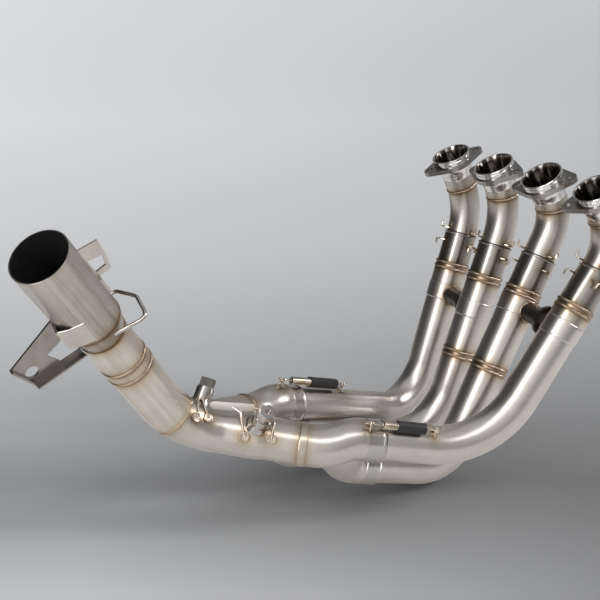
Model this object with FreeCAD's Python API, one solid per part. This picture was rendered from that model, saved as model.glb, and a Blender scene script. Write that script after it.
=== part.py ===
import FreeCAD
import Part
import os
from math import acos, cos, degrees, pi, radians, sin, sqrt, tan

# Exhaust header for an inline four engine, four pipes into two, two into one.
# Millimetres. The origin is the middle of the face of port 1.
# +X runs along the ports from port 1 to port 4, +Y is forward, +Z is up.

os.makedirs("parts", exist_ok=True)
Vec = FreeCAD.Vector

# Tubes
port_pitch = 88.0
stub_od = 40.0
primary_od = 45.0
secondary_od = 48.0
mid_od = 51.0
end_od = 60.5
balance_od = 24.0
tube_wall = 1.2

# Port collars, turned from bar, in the order met from the face down the pipe
collar_od = 51.0
collar_mouth_r = 22.9
collar_bore_r = 18.4
collar_cup_depth = 26.0
collar_rim_depth = 9.0
collar_neck_r = 23.6
collar_neck_margin = 1.0
collar_length = 32.0

# Loose two-ear flanges
flange_thickness = 6.0
flange_round_r = 27.5
flange_bolt_circle = 66.0
flange_hole_d = 8.4
flange_ear_r = 8.4
flange_clearance = 0.3
flange_turn = [20.0, 78.0, 62.0, 38.0]

# Slip joints and welds
slip_clearance = 0.15
sleeve_wall = 1.3
saddle_wall = 0.8
saddle_half = 11.0
sleeve_lip = 0.9
sleeve_lip_length = 2.4
stub_overlap = 26.0
lower_overlap = 24.0
bead_r = 1.1
bead_sink = 0.1
bead_pair_gap = 7.0

# Spring hooks and springs
hook_wire_d = 2.6
hook_height = 11.0
hook_reach = 6.5
hook_eye_height = 8.2
spring_od = 10.0
spring_wire_d = 1.8
spring_coil_length = 58.0
spring_taper = 4.0
spring_groove = 0.8
eye_clearance = 0.4
rubber_wall = 1.6
rubber_length = 34.0
far_spring_extra = 32.0
hook_lip_gap = 4.0
hook_pair_gap = 18.0

# Oxygen sensor bosses
boss_od = 21.0
boss_height = 16.0
boss_sink = 4.0
boss_skirt = 4.0
plug_thread_d = 12.0
plug_hex = 17.0
plug_washer = 1.6
plug_head = 10.0
plug_socket_d = 7.0
plug_socket_depth = 6.0

# Brackets on the end pipe
sheet = 2.2
hanger_hole_d = 14.0
hanger_flange = 9.0
hanger_lip = 4.0
ring_rod_d = 4.0


def direction(vector):
    return Vec(vector).normalize()


class Route:
    """A bent tube's centreline: straight runs joined by tangent arcs."""

    def __init__(self, corners, radii):
        self.pieces = []
        points = [Vec(*c) for c in corners]
        start = points[0]
        for i, radius in enumerate(radii):
            before = (points[i] - points[i + 1]).normalize()
            after = (points[i + 2] - points[i + 1]).normalize()
            turn = pi - acos(max(-1.0, min(1.0, before.dot(after))))
            tangent = radius * tan(turn / 2)
            entry = points[i + 1] + before * tangent
            middle = (before + after).normalize()
            centre = points[i + 1] + middle * (radius / cos(turn / 2))
            self.pieces.append(("run", start, direction(entry - start), (entry - start).Length))
            normal = (entry - centre).cross(before * -1).normalize()
            self.pieces.append(("arc", entry, before * -1, radius * turn, centre, normal, radius))
            start = points[i + 1] + after * tangent
        self.pieces.append(("run", start, direction(points[-1] - start), (points[-1] - start).Length))
        self.length = sum(piece[3] for piece in self.pieces)

    def at(self, station):
        """Point and heading at a distance along the centreline."""
        left = station
        for piece in self.pieces:
            if left <= piece[3] or piece is self.pieces[-1]:
                break
            left -= piece[3]
        if piece[0] == "run":
            return piece[1] + piece[2] * left, Vec(piece[2])
        turn = FreeCAD.Rotation(piece[5], degrees(left / piece[6]))
        return piece[4] + turn.multVec(piece[1] - piece[4]), turn.multVec(piece[2])

    def solid(self, first, last, outer_r, inner_r=0.0):
        """The tube, or the rod, between two stations."""
        done = 0.0
        parts = []
        for piece in self.pieces:
            low = max(first - done, 0.0)
            high = min(last - done, piece[3])
            if high - low > 0.01:
                point, heading = self.at(done + low)
                face = ring_face(point, heading, outer_r, inner_r)
                if piece[0] == "run":
                    parts.append(face.extrude(heading * (high - low)))
                else:
                    parts.append(face.revolve(piece[4], piece[5], degrees((high - low) / piece[6])))
            done += piece[3]
        return fused(parts)


def ring_face(point, heading, outer_r, inner_r):
    outer = Part.Wire(Part.makeCircle(outer_r, point, heading))
    face = Part.Face(outer)
    if inner_r > 0:
        face = face.cut(Part.Face(Part.Wire(Part.makeCircle(inner_r, point, heading)))).Faces[0]
    return face


def fused(parts):
    shape = parts[0]
    if len(parts) > 1:
        shape = shape.multiFuse(parts[1:])
    return shape.removeSplitter()


def turned(point, heading, profile):
    """Revolve a closed profile of (distance along, radius) points about an axis."""
    side = heading.cross(Vec(1, 0, 0) if abs(heading.x) < 0.9 else Vec(0, 1, 0)).normalize()
    corners = [point + heading * a + side * r for a, r in profile]
    face = Part.Face(Part.makePolygon(corners + corners[:1]))
    return face.revolve(point, heading, 360)


def bead(route, station, tube_r):
    """A weld bead round a tube."""
    point, heading = route.at(station)
    return Part.makeTorus(tube_r - bead_sink, bead_r, point, heading)


def hollow(outers, inners):
    """Union of the outer forms with each inner form cut out of it."""
    shape = fused(outers)
    for inner in inners:
        shape = shape.cut(inner)
    return shape.removeSplitter()


def save(name, shape):
    shape.exportStep("parts/" + name + ".step")
    print(name, len(shape.Solids), round(shape.Volume), shape.isValid())


# Where each pipe is bent: the corners of its centreline and its bend radii.
# Corner 1 lies on the port's axis, so it fixes how far the pipe leans forward.

port_x = [i * port_pitch for i in range(4)]
port_lean = [25.0, 26.6, 31.6, 30.8]
head_corner = [83.9, 64.8, 61.1, 78.0]
lower_corner = [(7.0, -56.0, -356.0), (86.0, -74.0, -356.0), (178.0, -124.0, -353.0), (244.0, -114.0, -303.5)]
run_end = [(71.2, -280.2, -276.6), (87.0, -262.0, -330.0), (169.0, -257.0, -318.6), (196.0, -273.5, -272.0)]
bend_radii = [(92.0, 69.0), (100.0, 78.0), (55.0, 55.0), (60.0, 109.0)]

# Stations along the centrelines
neck_weld_at = [50.0, 46.0, 47.0, 42.0]
slip_at = [118.0, 112.0, 112.0, 110.0]
sleeve_end_at = [160.0, 153.0, 155.0, 156.0]
balance_at = [201.0, 200.0, 176.0, 189.0]
mend_weld_at = {2: 258.0, 3: 256.0}
lower_slip_back = [0.0, 0.0, 31.0, 36.0]

port_routes = []
for i in range(4):
    lean = radians(port_lean[i])
    first = (port_x[i], head_corner[i] * sin(lean), -head_corner[i] * cos(lean))
    corners = [(port_x[i], 0, 0), first, lower_corner[i], run_end[i]]
    port_routes.append(Route(corners, bend_radii[i]))

stub_r = stub_od / 2
primary_r = primary_od / 2
secondary_r = secondary_od / 2
mid_r = mid_od / 2
end_r = end_od / 2


def port_collar(route):
    """Turned collar: a wide rim for the flange to pull on, and a neck down to the pipe."""
    point, heading = route.at(0)
    rim_r = collar_od / 2
    neck_end = collar_rim_depth + flange_thickness + collar_neck_margin
    profile = [
        (0, collar_mouth_r + 0.7),
        (0, rim_r),
        (collar_rim_depth, rim_r),
        (collar_rim_depth, collar_neck_r),
        (neck_end, collar_neck_r),
        (neck_end + 3.0, collar_neck_r - 1.6),
        (collar_length - 2.0, stub_r + 0.5),
        (collar_length, stub_r),
        (collar_length, collar_bore_r),
        (collar_cup_depth, collar_bore_r),
        (0.8, collar_mouth_r),
    ]
    return turned(point, heading, profile)


def port_flange(route, turn):
    """Loose plate with two ears that pulls the collar up to the head."""
    point, heading = route.at(collar_rim_depth)
    fore_side = heading.cross(Vec(1, 0, 0)).normalize()
    ear_way = FreeCAD.Rotation(heading, turn).multVec(fore_side)
    cross_way = heading.cross(ear_way)
    half_span = flange_bolt_circle / 2
    opening = acos((flange_round_r - flange_ear_r) / half_span)
    plate = Part.makeCylinder(flange_round_r, flange_thickness, point, heading)
    for side in (1, -1):
        middle = point + ear_way * (half_span * side)
        ear = Part.makeCylinder(flange_ear_r, flange_thickness, middle, heading)
        corners = []
        for hand in (1, -1):
            way = ear_way * (side * cos(opening)) + cross_way * (hand * sin(opening))
            corners.append((point + way * flange_round_r, middle + way * flange_ear_r))
        loop = [corners[0][0], corners[0][1], corners[1][1], corners[1][0]]
        web = Part.Face(Part.makePolygon(loop + loop[:1])).extrude(heading * flange_thickness)
        plate = plate.multiFuse([ear, web])
    plate = plate.cut(Part.makeCylinder(collar_neck_r + flange_clearance, flange_thickness, point, heading))
    for side in (1, -1):
        middle = point + ear_way * (half_span * side)
        plate = plate.cut(Part.makeCylinder(flange_hole_d / 2, flange_thickness, middle, heading))
    return plate.removeSplitter()


def side_of(heading, towards):
    """Unit vector square to a heading, on the side of a given vector."""
    return direction(towards - heading * towards.dot(heading))


def hook(point, heading, out, tube_r, way):
    """Bent wire hook: a foot on the tube, a rise, and a tip along the tube."""
    wire_r = hook_wire_d / 2
    foot = point + out * (tube_r - 0.2)
    rise = foot + out * hook_height
    tip = rise + heading * (way * hook_reach)
    line = Route([foot, rise, tip], [hook_wire_d * 1.2])
    body = line.solid(0, line.length, wire_r)
    knob = Part.makeSphere(wire_r, tip)
    return body.fuse(knob)


# Port end of each pipe. Two pairs of hooks stand beside each upper slip joint.

hook_sides = [
    (Vec(0.97, 0.2, 0.0), Vec(-0.4, -0.87, 0.27)),
    (Vec(0.99, 0.05, 0.0), Vec(-0.7, -0.68, 0.2)),
    (Vec(0.99, -0.06, 0.04), Vec(-0.7, -0.68, 0.2)),
    (Vec(0.84, -0.48, 0.24), Vec(-0.72, -0.56, 0.42)),
]

for i, route in enumerate(port_routes):
    n = i + 1
    slip = slip_at[i]
    sleeve_end = sleeve_end_at[i]
    sleeve_r = stub_r + slip_clearance
    save("port_collar_%d" % n, port_collar(route))
    save("port_flange_%d" % n, port_flange(route, flange_turn[i]))

    stub = route.solid(collar_length, slip + stub_overlap, stub_r, stub_r - tube_wall)
    stub = stub.fuse(bead(route, neck_weld_at[i], stub_r)).removeSplitter()
    save("stub_tube_%d" % n, stub)

    sleeve = route.solid(slip, sleeve_end, sleeve_r + sleeve_wall, sleeve_r)
    lip_end = slip + sleeve_lip_length
    lip = route.solid(slip, lip_end, sleeve_r + sleeve_wall + sleeve_lip, sleeve_r)
    save("slip_sleeve_%d" % n, fused([sleeve, lip]))

    hooks = []
    for towards in hook_sides[i]:
        point, heading = route.at(slip - hook_lip_gap)
        hooks.append(hook(point, heading, side_of(heading, towards), stub_r, -1))
        point, heading = route.at(slip - hook_lip_gap + hook_pair_gap)
        hooks.append(hook(point, heading, side_of(heading, towards), sleeve_r + sleeve_wall, 1))
    save("upper_hooks_%d" % n, Part.makeCompound(hooks))


def primary(i):
    """One primary pipe, from the upper sleeve to its spigot in the collector."""
    route = port_routes[i]
    start = sleeve_end_at[i]
    finish = route.length - lower_slip_back[i] + lower_overlap
    tube = route.solid(start, finish, primary_r, primary_r - tube_wall)
    sleeve_r = stub_r + slip_clearance
    swage_r = min(primary_r - tube_wall, sleeve_r + sleeve_wall / 2)
    extras = [route.solid(start, start + 2 * bead_r, primary_r, swage_r)]
    extras.append(bead(route, start + bead_r, primary_r))
    extras.append(bead(route, start + bead_r + bead_pair_gap, primary_r))
    tee = balance_at[i]
    saddle_r = primary_r + saddle_wall
    extras.append(route.solid(tee - saddle_half, tee + saddle_half, saddle_r, primary_r - tube_wall / 2))
    if i + 1 in mend_weld_at:
        extras.append(bead(route, mend_weld_at[i + 1], primary_r))
        extras.append(bead(route, mend_weld_at[i + 1] + bead_pair_gap, primary_r))
    return tube.multiFuse(extras).removeSplitter()


# The balance tubes cross between pipes 1 and 2, and between pipes 3 and 4

primaries = [primary(i) for i in range(4)]
balance_r = balance_od / 2
clamp_rise = {0: 2.5, 2: 6.5}
clamp_width = 4.0
clamp_back = 7.0
for left in (0, 2):
    a = port_routes[left].at(balance_at[left])[0]
    b = port_routes[left + 1].at(balance_at[left + 1])[0]
    way = direction(b - a)
    reach = (b - a).Length
    drill = Part.makeCylinder(balance_r - tube_wall, reach, a, way)
    link = Part.makeCylinder(balance_r, reach, a, way).cut(drill)
    for end in (left, left + 1):
        station = balance_at[end]
        link = link.cut(port_routes[end].solid(station - 40, station + 40, primary_r + saddle_wall))
        primaries[end] = primaries[end].cut(drill)
    link = max(link.Solids, key=lambda s: s.Volume)
    clamp_at = a + way * (reach - primary_r - clamp_back)
    clamp = Part.makeCylinder(balance_r + clamp_rise[left], clamp_width, clamp_at, way)
    clamp = clamp.cut(Part.makeCylinder(balance_r, clamp_width, clamp_at, way))
    name = "%d%d" % (left + 1, left + 2)
    save("balance_tube_" + name, link)
    save("balance_clamp_" + name, clamp)

for i, pipe in enumerate(primaries):
    save("primary_pipe_%d" % (i + 1), pipe)


# Collectors: each takes two primaries, and the main collector takes both

near_outlet = (183.4, -315.7, -277.0)
far_outlet = Vec(89.0, -350.0, -267.5)
merge_corner = (129.0, -400.0, -262.0)
elbow_corner = (112.4, -447.7, -248.5)
taper_corner = (149.8, -536.5, -117.4)
end_corner = (201.1, -608.0, -14.5)
tail_radii = [50.0, 92.0, 60.0]
tail = Route([near_outlet, merge_corner, elbow_corner, taper_corner, end_corner], tail_radii)

# Collectors: one branch leads on into the outlet, and the other joins it from the side
lead_knee_back = 9.0
lead_bend_back = 14.0
lead_bend_r = 60.0

# Stations along the tail
main_start = 6.0
merge_band = 10.0
merge_band_rise = 1.0
merge_end = 62.0
merge_cone = 12.0
far_merge_at = 136.0
elbow_weld_at = 166.0
mid_band_at = 257.0
mid_band_gap = 16.0
reducer_at = 318.0
reducer_length = 22.0


def lead_branch(i, outlet, outlet_way, knee_r):
    """Centreline along a primary and then along the collector's outlet."""
    route = port_routes[i]
    mouth, heading = route.at(route.length - lower_slip_back[i])
    knee = mouth + heading * (lower_overlap + lead_knee_back)
    bend = outlet - outlet_way * lead_bend_back
    finish = outlet + outlet_way * main_start
    return Route([mouth, knee, bend, finish], [knee_r, lead_bend_r])


def side_branch(i, target):
    """Centreline along a primary and then straight into the lead branch."""
    route = port_routes[i]
    mouth, heading = route.at(route.length - lower_slip_back[i])
    knee = mouth + heading * (lower_overlap + 12.0)
    turn = acos(heading.dot(direction(target - knee)))
    radius = 11.0 / tan(turn / 2)
    return Route([mouth, knee, target], [min(radius, 400.0)])


def pair_collector(lead, side, outlet, outlet_way, knee_r, side_end_back):
    """Two slip sleeves whose branches run together into one outlet."""
    sleeve_r = primary_r + slip_clearance
    branch_r = sleeve_r + tube_wall
    main = lead_branch(lead, outlet, outlet_way, knee_r)
    joined = side_branch(side, main.at(main.length - main_start - side_end_back)[0])
    step = lower_overlap + 2.0
    outers = [main.solid(0, step, branch_r), main.solid(step, main.length, secondary_r)]
    inners = [main.solid(0, step, sleeve_r), main.solid(step, main.length, secondary_r - tube_wall)]
    outers.append(joined.solid(0, joined.length, branch_r))
    inners.append(joined.solid(0, joined.length, sleeve_r))
    for line in (main, joined):
        outers.append(line.solid(0, sleeve_lip_length, branch_r + sleeve_lip))
    return hollow(outers, inners)


far_end = tail.at(far_merge_at)[0]
far_way = direction(far_end - far_outlet)
far_start = far_outlet + far_way * main_start
near_start, near_way = tail.at(0)
save("near_collector", pair_collector(3, 2, near_start, near_way, 55.0, 20.0))
save("far_collector", pair_collector(0, 1, far_outlet, far_way, 36.0, 12.0))

bore_r = secondary_r - tube_wall
far_length = (far_end - far_start).Length
cone_at = merge_end - merge_cone
cone_point, cone_way = tail.at(cone_at)
outers = [tail.solid(main_start, cone_at, secondary_r)]
outers.append(Part.makeCone(secondary_r, mid_r, merge_cone, cone_point, cone_way))
outers.append(tail.solid(merge_end, elbow_weld_at, mid_r))
outers.append(Part.makeCylinder(secondary_r, far_length, far_start, far_way))
outers.append(tail.solid(main_start, main_start + merge_band, secondary_r + merge_band_rise))
outers.append(Part.makeTorus(secondary_r - bead_sink, bead_r, far_start + far_way * bead_r, far_way))
inners = [Part.makeCylinder(bore_r, far_length, far_start, far_way)]
inners.append(tail.solid(main_start, cone_at, bore_r))
inners.append(Part.makeCone(bore_r, mid_r - tube_wall, merge_cone, cone_point, cone_way))
inners.append(tail.solid(merge_end, elbow_weld_at, mid_r - tube_wall))
main_outer = fused(outers)
save("main_collector", hollow([main_outer], inners))

save("elbow_pipe", tail.solid(elbow_weld_at, mid_band_at, mid_r, mid_r - tube_wall))

mid_pipe = [tail.solid(mid_band_at, reducer_at, mid_r, mid_r - tube_wall)]
mid_pipe.append(bead(tail, mid_band_at + bead_r, mid_r))
mid_pipe.append(bead(tail, mid_band_at + mid_band_gap, mid_r))
save("mid_pipe", fused(mid_pipe))

point, end_way = tail.at(reducer_at)
profile = [
    (0, mid_r - tube_wall),
    (0, mid_r),
    (reducer_length * 0.3, mid_r + 0.8),
    (reducer_length * 0.75, end_r - 0.6),
    (reducer_length, end_r),
    (reducer_length, end_r - tube_wall),
    (reducer_length * 0.75, end_r - 0.6 - tube_wall),
    (reducer_length * 0.3, mid_r + 0.8 - tube_wall),
]
save("reducer", turned(point, end_way, profile))

mouth = Vec(*end_corner)
end_start = point + end_way * reducer_length
end_length = (mouth - end_start).Length
end_pipe = Part.makeCylinder(end_r, end_length, end_start, end_way)
save("end_pipe", end_pipe.cut(Part.makeCylinder(end_r - tube_wall, end_length, end_start, end_way)))


# Oxygen sensor bosses with their plugs

def hexagon(point, heading, across_flats, height):
    side = heading.cross(Vec(1, 0, 0)).normalize()
    corners = []
    for k in range(6):
        spin = FreeCAD.Rotation(heading, 60.0 * k)
        corners.append(point + spin.multVec(side) * (across_flats / sqrt(3)))
    return Part.Face(Part.makePolygon(corners + corners[:1])).extrude(heading * height)


def sensor_boss(name, station, way):
    """A boss welded on the main collector, and the plug screwed into it."""
    way = direction(way)
    seat = tail.at(station)[0] + way * (mid_r - boss_sink)
    boss = Part.makeCylinder(boss_od / 2, boss_height + boss_sink, seat, way)
    skirt = Part.makeCone(boss_od / 2 + boss_skirt, boss_od / 2, boss_sink + boss_skirt, seat, way)
    boss = boss.fuse(skirt).cut(main_outer)
    top = seat + way * (boss_height + boss_sink)
    depth = boss_height - 1.0
    boss = boss.cut(Part.makeCylinder(plug_thread_d / 2, depth, top - way * depth, way))
    save("sensor_boss_" + name, boss.removeSplitter())
    thread = Part.makeCylinder(plug_thread_d / 2, depth - 1.0, top - way * (depth - 1.0), way)
    washer = Part.makeCylinder(plug_hex / 2 + 1.0, plug_washer, top, way)
    head = hexagon(top + way * plug_washer, way, plug_hex, plug_head)
    face = top + way * (plug_washer + plug_head)
    socket = Part.makeCylinder(plug_socket_d / 2, plug_socket_depth, face - way * plug_socket_depth, way)
    save("sensor_plug_" + name, fused([thread, washer, head]).cut(socket))


sensor_boss("rear", 137.0, Vec(-0.27, 0.5, 0.82))
sensor_boss("front", 71.0, Vec(0.63, 0.12, 0.76))


# Beside the bosses: a flat strap on two bent legs, and a pointed wire loop, all on round pads

strap_ends = [(135.5, -417.7, -224.1), (146.2, -369.2, -234.0)]
strap_width = 9.0
strap_thickness = 2.0
strap_pads = [(75.6, Vec(0.82, -0.47, 0.34)), (46.0, Vec(0.79, -0.43, 0.43))]
leg_corners = [[(149.3, -388.0, -233.5)], [(158.0, -351.0, -238.0), (173.9, -358.5, -244.7)]]
leg_starts = [0.5, 0.95]
leg_wire_d = 3.0
pad_r = 6.5
pad_height = 1.4
loop_top = (114.4, -421.5, -211.5)
loop_feet = [(150.4, Vec(0.88, 0.24, 0.41)), (130.7, Vec(0.77, 0.15, 0.63))]


def pad_on_tail(station, towards):
    """A round pad on the main collector, with its middle."""
    centre, heading = tail.at(station)
    way = side_of(heading, towards)
    middle = centre + way * mid_r
    disc = Part.makeCylinder(pad_r, pad_height + 2.0, middle - way * 2.0, way)
    return disc, middle


def wire(points, radii, wire_d):
    line = Route(points, radii)
    return line.solid(0, line.length, wire_d / 2)


def outside(shape, solids):
    """What is left of a shape outside some pipes, without loose scraps."""
    for solid in solids:
        shape = shape.cut(solid)
    return max(shape.Solids, key=lambda s: s.Volume).removeSplitter()


rear_end, front_end = [Vec(*end) for end in strap_ends]
strap_way = direction(front_end - rear_end)
strap_up = side_of(strap_way, Vec(0.3, 0.0, 1.0))
strap_across = strap_way.cross(strap_up)
corner = rear_end - strap_across * (strap_width / 2) - strap_up * (strap_thickness / 2)
sides = [strap_way * (front_end - rear_end).Length, strap_across * strap_width]
loop = [corner, corner + sides[0], corner + sides[0] + sides[1], corner + sides[1]]
parts = [Part.Face(Part.makePolygon(loop + loop[:1])).extrude(strap_up * strap_thickness)]
for (station, towards), corners, share in zip(strap_pads, leg_corners, leg_starts):
    disc, middle = pad_on_tail(station, towards)
    start = rear_end + (front_end - rear_end) * share
    line = [start] + [Vec(*corner) for corner in corners] + [middle]
    parts += [disc, wire(line, [leg_wire_d] * len(corners), leg_wire_d)]
save("strap_bracket", outside(fused(parts), [main_outer]))

feet = [pad_on_tail(station, towards) for station, towards in loop_feet]
line = [feet[0][1], Vec(*loop_top), feet[1][1]]
parts = [feet[0][0], feet[1][0], wire(line, [leg_wire_d], leg_wire_d)]
save("wire_loop", outside(fused(parts), [main_outer]))


# Brackets on the end pipe. Each lies in the plane that holds the pipe's axis.
# Their outlines are (outwards from the axis, back from the pipe's mouth).

sheet_way = Vec(0.924, 0.167, -0.345)
sheet_way = side_of(end_way, sheet_way)
out_way = end_way.cross(sheet_way)


def end_point(out, back, lift=0.0):
    """A point near the end pipe, from its outline coordinates."""
    return mouth + out_way * out - end_way * back + sheet_way * lift


def flat(outline, low, high):
    """A flat piece of sheet with a straight-sided outline."""
    corners = [end_point(out, back, low) for out, back in outline]
    return Part.Face(Part.makePolygon(corners + corners[:1])).extrude(sheet_way * (high - low))


end_solid = Part.makeCylinder(end_r, end_length, end_start, end_way)
reducer_solid = Part.makeCone(mid_r, end_r, reducer_length, point, end_way)
pipe_solids = [end_solid, reducer_solid, tail.solid(mid_band_at, reducer_at, mid_r + bead_r)]

hanger_outline = [(-28.0, 72.6), (-90.0, 92.6), (-81.5, 128.0), (-24.0, 134.0)]
hanger_window = [(-24.0, 101.5), (-35.0, 102.2), (-55.0, 106.5), (-48.1, 126.5), (-22.0, 129.5)]
hanger = flat(hanger_outline, -sheet, 0).cut(flat(hanger_window, -sheet, 0))
hole_at = end_point(-75.4, 111.7, -sheet)
hanger = hanger.cut(Part.makeCylinder(hanger_hole_d / 2, sheet, hole_at, sheet_way))
edge = [(-81.5, 128.0), (-24.0, 134.0), (-24.0, 134.0 - sheet), (-81.5, 128.0 - sheet)]
hanger = hanger.fuse(flat(edge, 0, hanger_flange))
lip = [(-90.0, 92.6), (-81.5, 128.0), (-81.5 + sheet, 128.0), (-90.0 + sheet, 92.6)]
hanger = hanger.fuse(flat(lip, 0, hanger_lip))
saddle_line = [(-30.0, -sheet), (-33.3, 17.5), (-22.0, 25.0), (-8.0, 30.0)]
saddle_inner = [(-30.0 + sheet, -sheet), (-33.3 + sheet, 17.5 - sheet * 0.7), (-21.0, 23.0), (-7.5, 28.0)]
saddle_corners = [end_point(out, 73.0, lift) for out, lift in saddle_line + saddle_inner[::-1]]
saddle = Part.Face(Part.makePolygon(saddle_corners + saddle_corners[:1])).extrude(end_way * -28.0)
hanger = hanger.fuse(saddle)
save("hanger_bracket", outside(hanger, pipe_solids))

tab_outline = [(28.0, 23.5), (50.6, 28.3), (49.5, 49.0), (45.5, 68.0), (28.0, 66.0), (28.0, 23.5)]
tab_window = [(31.5, 42.0), (46.5, 46.5), (43.5, 60.0), (32.0, 60.0)]
tab = flat(tab_outline[:-1], -sheet, 0).cut(flat(tab_window, -sheet, 0))
foot_back = 88.0
foot_length = 22.0
foot = Part.makeCylinder(end_r + sheet, foot_length, end_point(0, foot_back), end_way).cut(end_solid)
foot_strip = [(20.0, foot_back - 28.0), (60.0, foot_back - 28.0), (60.0, foot_back), (20.0, foot_back)]
foot = foot.common(flat(foot_strip, -6.0, 6.0))
tab = tab.cut(end_solid).fuse(foot)
save("guard_bracket", tab.removeSplitter())

ring_back = 114.0
ring_outline = [(24.0, -16.0), (36.0, -18.0), (48.5, 6.0), (43.0, 36.0), (8.0, 27.0)]
loop = [end_point(out, ring_back, lift) for out, lift in ring_outline]
line = Route(loop, [6.0, 8.0, 8.0])
save("guide_ring", outside(line.solid(0, line.length, ring_rod_d / 2), pipe_solids))


# Springs across the lower slip joints

def coil_profile(coil_length, covered):
    """Half section of a close-wound coil: tapered ends and a groove at every bare turn."""
    profile = [(0, 0), (0, spring_wire_d / 2)]
    turns = int((coil_length - 2 * spring_taper) / spring_wire_d)
    crest = spring_od / 2
    pitch = (coil_length - 2 * spring_taper) / turns
    first_bare = int((covered + spring_wire_d) / pitch)
    profile.append((spring_taper, crest))
    for k in range(first_bare, turns):
        at = spring_taper + k * pitch
        profile.append((at, crest))
        profile.append((at + pitch / 2, crest - spring_groove))
    profile.append((coil_length - spring_taper, crest))
    profile += [(coil_length, spring_wire_d / 2), (coil_length, 0)]
    return profile


def spring_set(name, i, first, last, side, extra):
    """Two hooks on a pipe with a spring in a rubber sleeve between them."""
    route = port_routes[i]
    coil_length = spring_coil_length + extra
    covered = rubber_length + extra / 2
    low_point, low_heading = route.at(first)
    high_point, high_heading = route.at(last)
    side = direction(side)
    low_side = side_of(low_heading, side)
    high_side = side_of(high_heading, side)
    low_r = primary_r
    high_r = primary_r + slip_clearance + tube_wall
    save("spring_hook_" + name + "_front", hook(low_point, low_heading, low_side, low_r, -1))
    save("spring_hook_" + name + "_rear", hook(high_point, high_heading, high_side, high_r, 1))
    start = low_point + low_side * (low_r + hook_eye_height)
    finish = high_point + high_side * (high_r + hook_eye_height)
    way = direction(finish - start)
    gap = (finish - start).Length
    spare = (gap - coil_length) / 2
    coil_start = start + way * spare
    wire_r = spring_wire_d / 2
    eye_r = hook_wire_d / 2 + wire_r + eye_clearance
    coil = [turned(coil_start, way, coil_profile(coil_length, covered))]
    for eye, out, inwards in ((start, low_side, way), (finish, high_side, way * -1)):
        coil.append(Part.makeTorus(eye_r, wire_r, eye, out))
        coil.append(Part.makeCylinder(wire_r, spare - eye_r + wire_r, eye + inwards * eye_r, inwards))
    save("spring_" + name, fused(coil))
    rubber_start = coil_start + way * spring_taper
    sleeve = Part.makeCylinder(spring_od / 2 + rubber_wall, covered, rubber_start, way)
    sleeve = sleeve.cut(Part.makeCylinder(spring_od / 2, covered, rubber_start, way))
    save("spring_rubber_" + name, sleeve)


spring_set("near", 3, 412.0, 490.0, Vec(0.57, 0.0, 0.82), 0.0)
spring_set("far", 0, 513.0, 625.0, Vec(0.12, 0.36, 0.92), far_spring_extra)
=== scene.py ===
# %% [markdown]
# # An exhaust header for a four-cylinder motorcycle
#
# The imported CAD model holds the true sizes. It is loaded first as a fixed frame in metres,
# and every tube that is made below follows the same centrelines, so nothing has to be fitted.

# %% Load the frame
import math

import bpy
import numpy as np
from mathutils import Matrix, Vector


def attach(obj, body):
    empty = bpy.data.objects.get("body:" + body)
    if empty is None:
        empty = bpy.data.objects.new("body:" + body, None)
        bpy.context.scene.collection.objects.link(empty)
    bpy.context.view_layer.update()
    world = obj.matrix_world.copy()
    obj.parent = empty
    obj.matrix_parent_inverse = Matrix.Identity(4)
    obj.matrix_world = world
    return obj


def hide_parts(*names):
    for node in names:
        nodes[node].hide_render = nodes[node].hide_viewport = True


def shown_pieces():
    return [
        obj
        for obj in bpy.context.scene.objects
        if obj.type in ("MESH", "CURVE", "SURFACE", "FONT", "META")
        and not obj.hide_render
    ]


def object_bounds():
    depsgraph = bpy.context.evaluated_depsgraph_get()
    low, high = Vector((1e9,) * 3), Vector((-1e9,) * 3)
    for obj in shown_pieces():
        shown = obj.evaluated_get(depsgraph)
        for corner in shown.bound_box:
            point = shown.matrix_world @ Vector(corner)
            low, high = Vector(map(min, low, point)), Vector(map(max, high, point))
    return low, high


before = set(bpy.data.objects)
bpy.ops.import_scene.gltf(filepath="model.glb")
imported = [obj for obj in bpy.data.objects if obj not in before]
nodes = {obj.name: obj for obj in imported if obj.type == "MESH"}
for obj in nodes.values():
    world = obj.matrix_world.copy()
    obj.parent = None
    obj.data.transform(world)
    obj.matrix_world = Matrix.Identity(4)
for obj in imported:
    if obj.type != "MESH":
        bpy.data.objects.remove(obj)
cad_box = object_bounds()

print(len(nodes), "nodes in the frame")
print("box from", [round(v, 3) for v in cad_box[0]], "to", [round(v, 3) for v in cad_box[1]])

# %% [markdown]
# ## The camera
#
# The header was looked at from its outlet end, slightly from above, with a lens that flattens it
# a little. The origin is the middle of the first port's face, and the picture is square, so the
# sensor's width and the lens alone give the angle of view.

# %% Camera
def add_object(name, data):
    made = bpy.data.objects.new(name, data)
    bpy.context.scene.collection.objects.link(made)
    return made


camera_at = Vector((1.069, -0.821, 0.220))
camera_way = Vector((-0.834, 0.461, -0.304))
lens_data = bpy.data.cameras.new("camera")
lens_data.sensor_width = 36.0
lens_data.lens = 60.0
camera = add_object("camera", lens_data)
camera.location = camera_at
camera.rotation_euler = camera_way.to_track_quat("-Z", "Y").to_euler()
bpy.context.scene.camera = camera
bpy.context.scene.view_settings.view_transform = "Standard"
print("lens", lens_data.lens, "mm")

# %% [markdown]
# ## Shader sums as plain expressions
#
# A material in Blender is a net of nodes. Written by hand it is long, so a small class wraps
# the output of a node, and + - * / between two of them adds the Math node for it.

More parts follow.
